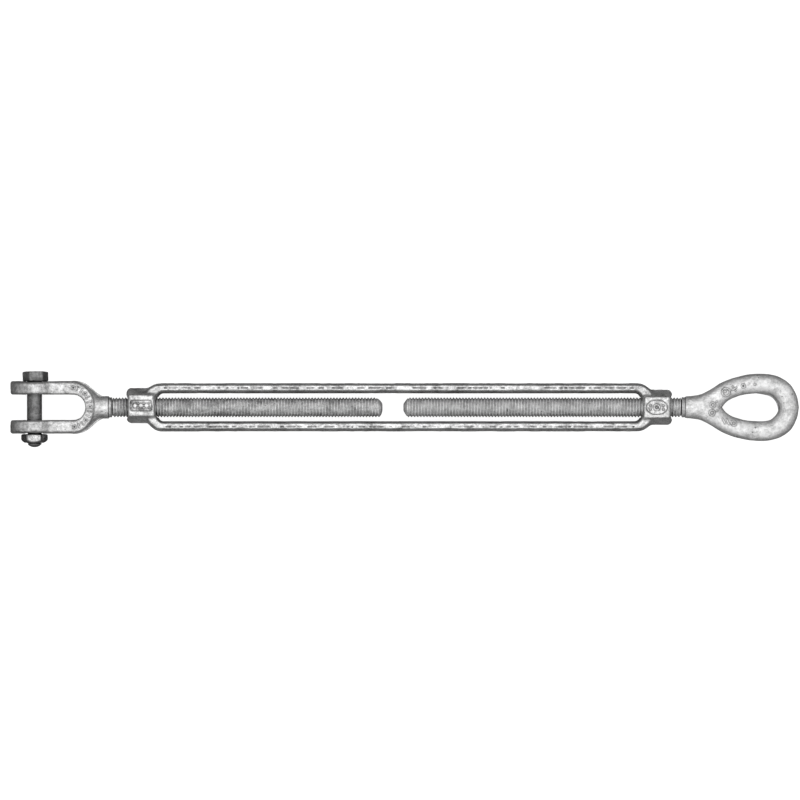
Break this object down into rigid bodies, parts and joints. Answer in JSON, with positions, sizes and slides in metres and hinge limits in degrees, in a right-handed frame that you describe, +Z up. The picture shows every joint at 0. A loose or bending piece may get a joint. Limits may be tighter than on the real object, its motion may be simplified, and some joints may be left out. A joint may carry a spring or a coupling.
{
  "type": "rigging turnbuckle",
  "caption": "Open-body forged turnbuckle with a bolted jaw at one end and a teardrop eye at the other, on right-hand and left-hand screw rods.",
  "frame": {"origin": "on the thread axis, half way between the tip of the jaw and the tip of the eye", "axes": "+X along the thread axis towards the eye, +Y along the jaw bolt towards its head, +Z up from the surface it lies on"},
  "size_m": [0.4957, 0.0478, 0.0286],
  "materials": {
    "galvanised_forging": "hot-dip galvanised, matt and mottled",
    "galvanised_fastener": "galvanised, weathered darker grey"
  },
  "bodies": {
    "jaw": {"jaw_fitting": "galvanised_forging"},
    "bolt": {"jaw_bolt": "galvanised_fastener"},
    "nut": {"jaw_bolt_nut": "galvanised_fastener"},
    "jaw_collar": {"jaw_neck_collar": "galvanised_forging"},
    "body": {"turnbuckle_body": "galvanised_forging"},
    "eye_collar": {"eye_neck_collar": "galvanised_forging"},
    "eye": {"eye_fitting": "galvanised_forging"}
  },
  "joints": [
    {"name": "body_turn", "type": "hinge", "parent": "jaw", "child": "jaw_collar", "pos_m": [-0.1849, 0, 0], "axis": [1, 0, 0], "range_deg": [-1080, 25920]},
    {"name": "body_travel", "type": "slide", "parent": "jaw_collar", "child": "body", "axis": [1, 0, 0], "range_m": [-0.00586, 0.14068]},
    {"name": "eye_travel", "type": "slide", "parent": "body", "child": "eye_collar", "axis": [1, 0, 0], "range_m": [-0.00586, 0.14068]},
    {"name": "eye_turn", "type": "hinge", "parent": "eye_collar", "child": "eye", "pos_m": [0.1751, 0, 0], "axis": [-1, 0, 0], "range_deg": [-1080, 25920]},
    {"name": "bolt_draw", "type": "slide", "parent": "jaw", "child": "bolt", "axis": [0, 1, 0], "range_m": [0, 0.046]},
    {"name": "nut_off", "type": "slide", "parent": "jaw", "child": "nut", "axis": [0, -1, 0], "range_m": [0, 0.012]}
  ],
  "couplings": [
    {"joint": "body_travel", "follows": "body_turn", "m_per_rad": 0.00031096},
    {"joint": "eye_travel", "follows": "body_turn", "m_per_rad": 0.00031096},
    {"joint": "eye_turn", "follows": "body_turn", "ratio": 1}
  ]
}
